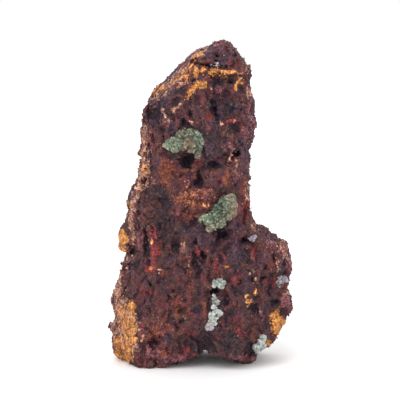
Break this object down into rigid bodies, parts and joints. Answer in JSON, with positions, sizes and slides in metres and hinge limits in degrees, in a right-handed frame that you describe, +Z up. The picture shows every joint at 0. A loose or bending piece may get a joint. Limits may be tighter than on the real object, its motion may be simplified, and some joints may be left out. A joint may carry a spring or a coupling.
{
  "type": "austinite crystals on matrix",
  "caption": "Upright hand specimen of craggy iron-oxide rock with crusts of small green crystals on its front, for display on a shelf.",
  "frame": {"origin": "middle of the footprint's bounding box, on the surface that the rock stands on", "axes": "+Z up, from the feet to the summit; -Y towards the viewer, the face that carries the crusts; +X to the right of that face"},
  "size_m": [0.0438, 0.032, 0.0772],
  "materials": {
    "matrix": "matte, red-brown with ochre patches",
    "austinite": "sugary, translucent, sage green",
    "austinite_pale": "sugary, translucent, pale green",
    "austinite_grey": "sugary, translucent, lilac-grey"
  },
  "bodies": {
    "root": {"matrix_rock": "matrix", "crust_upper": "austinite", "crust_middle": "austinite", "crust_bead": "austinite_pale", "crust_fleck": "austinite_pale", "crust_trail": "austinite_pale", "crust_foot": "austinite_pale", "crust_edge": "austinite_grey", "crust_shoulder": "austinite_grey", "crust_ledge": "austinite_grey"}
  },
  "joints": []
}
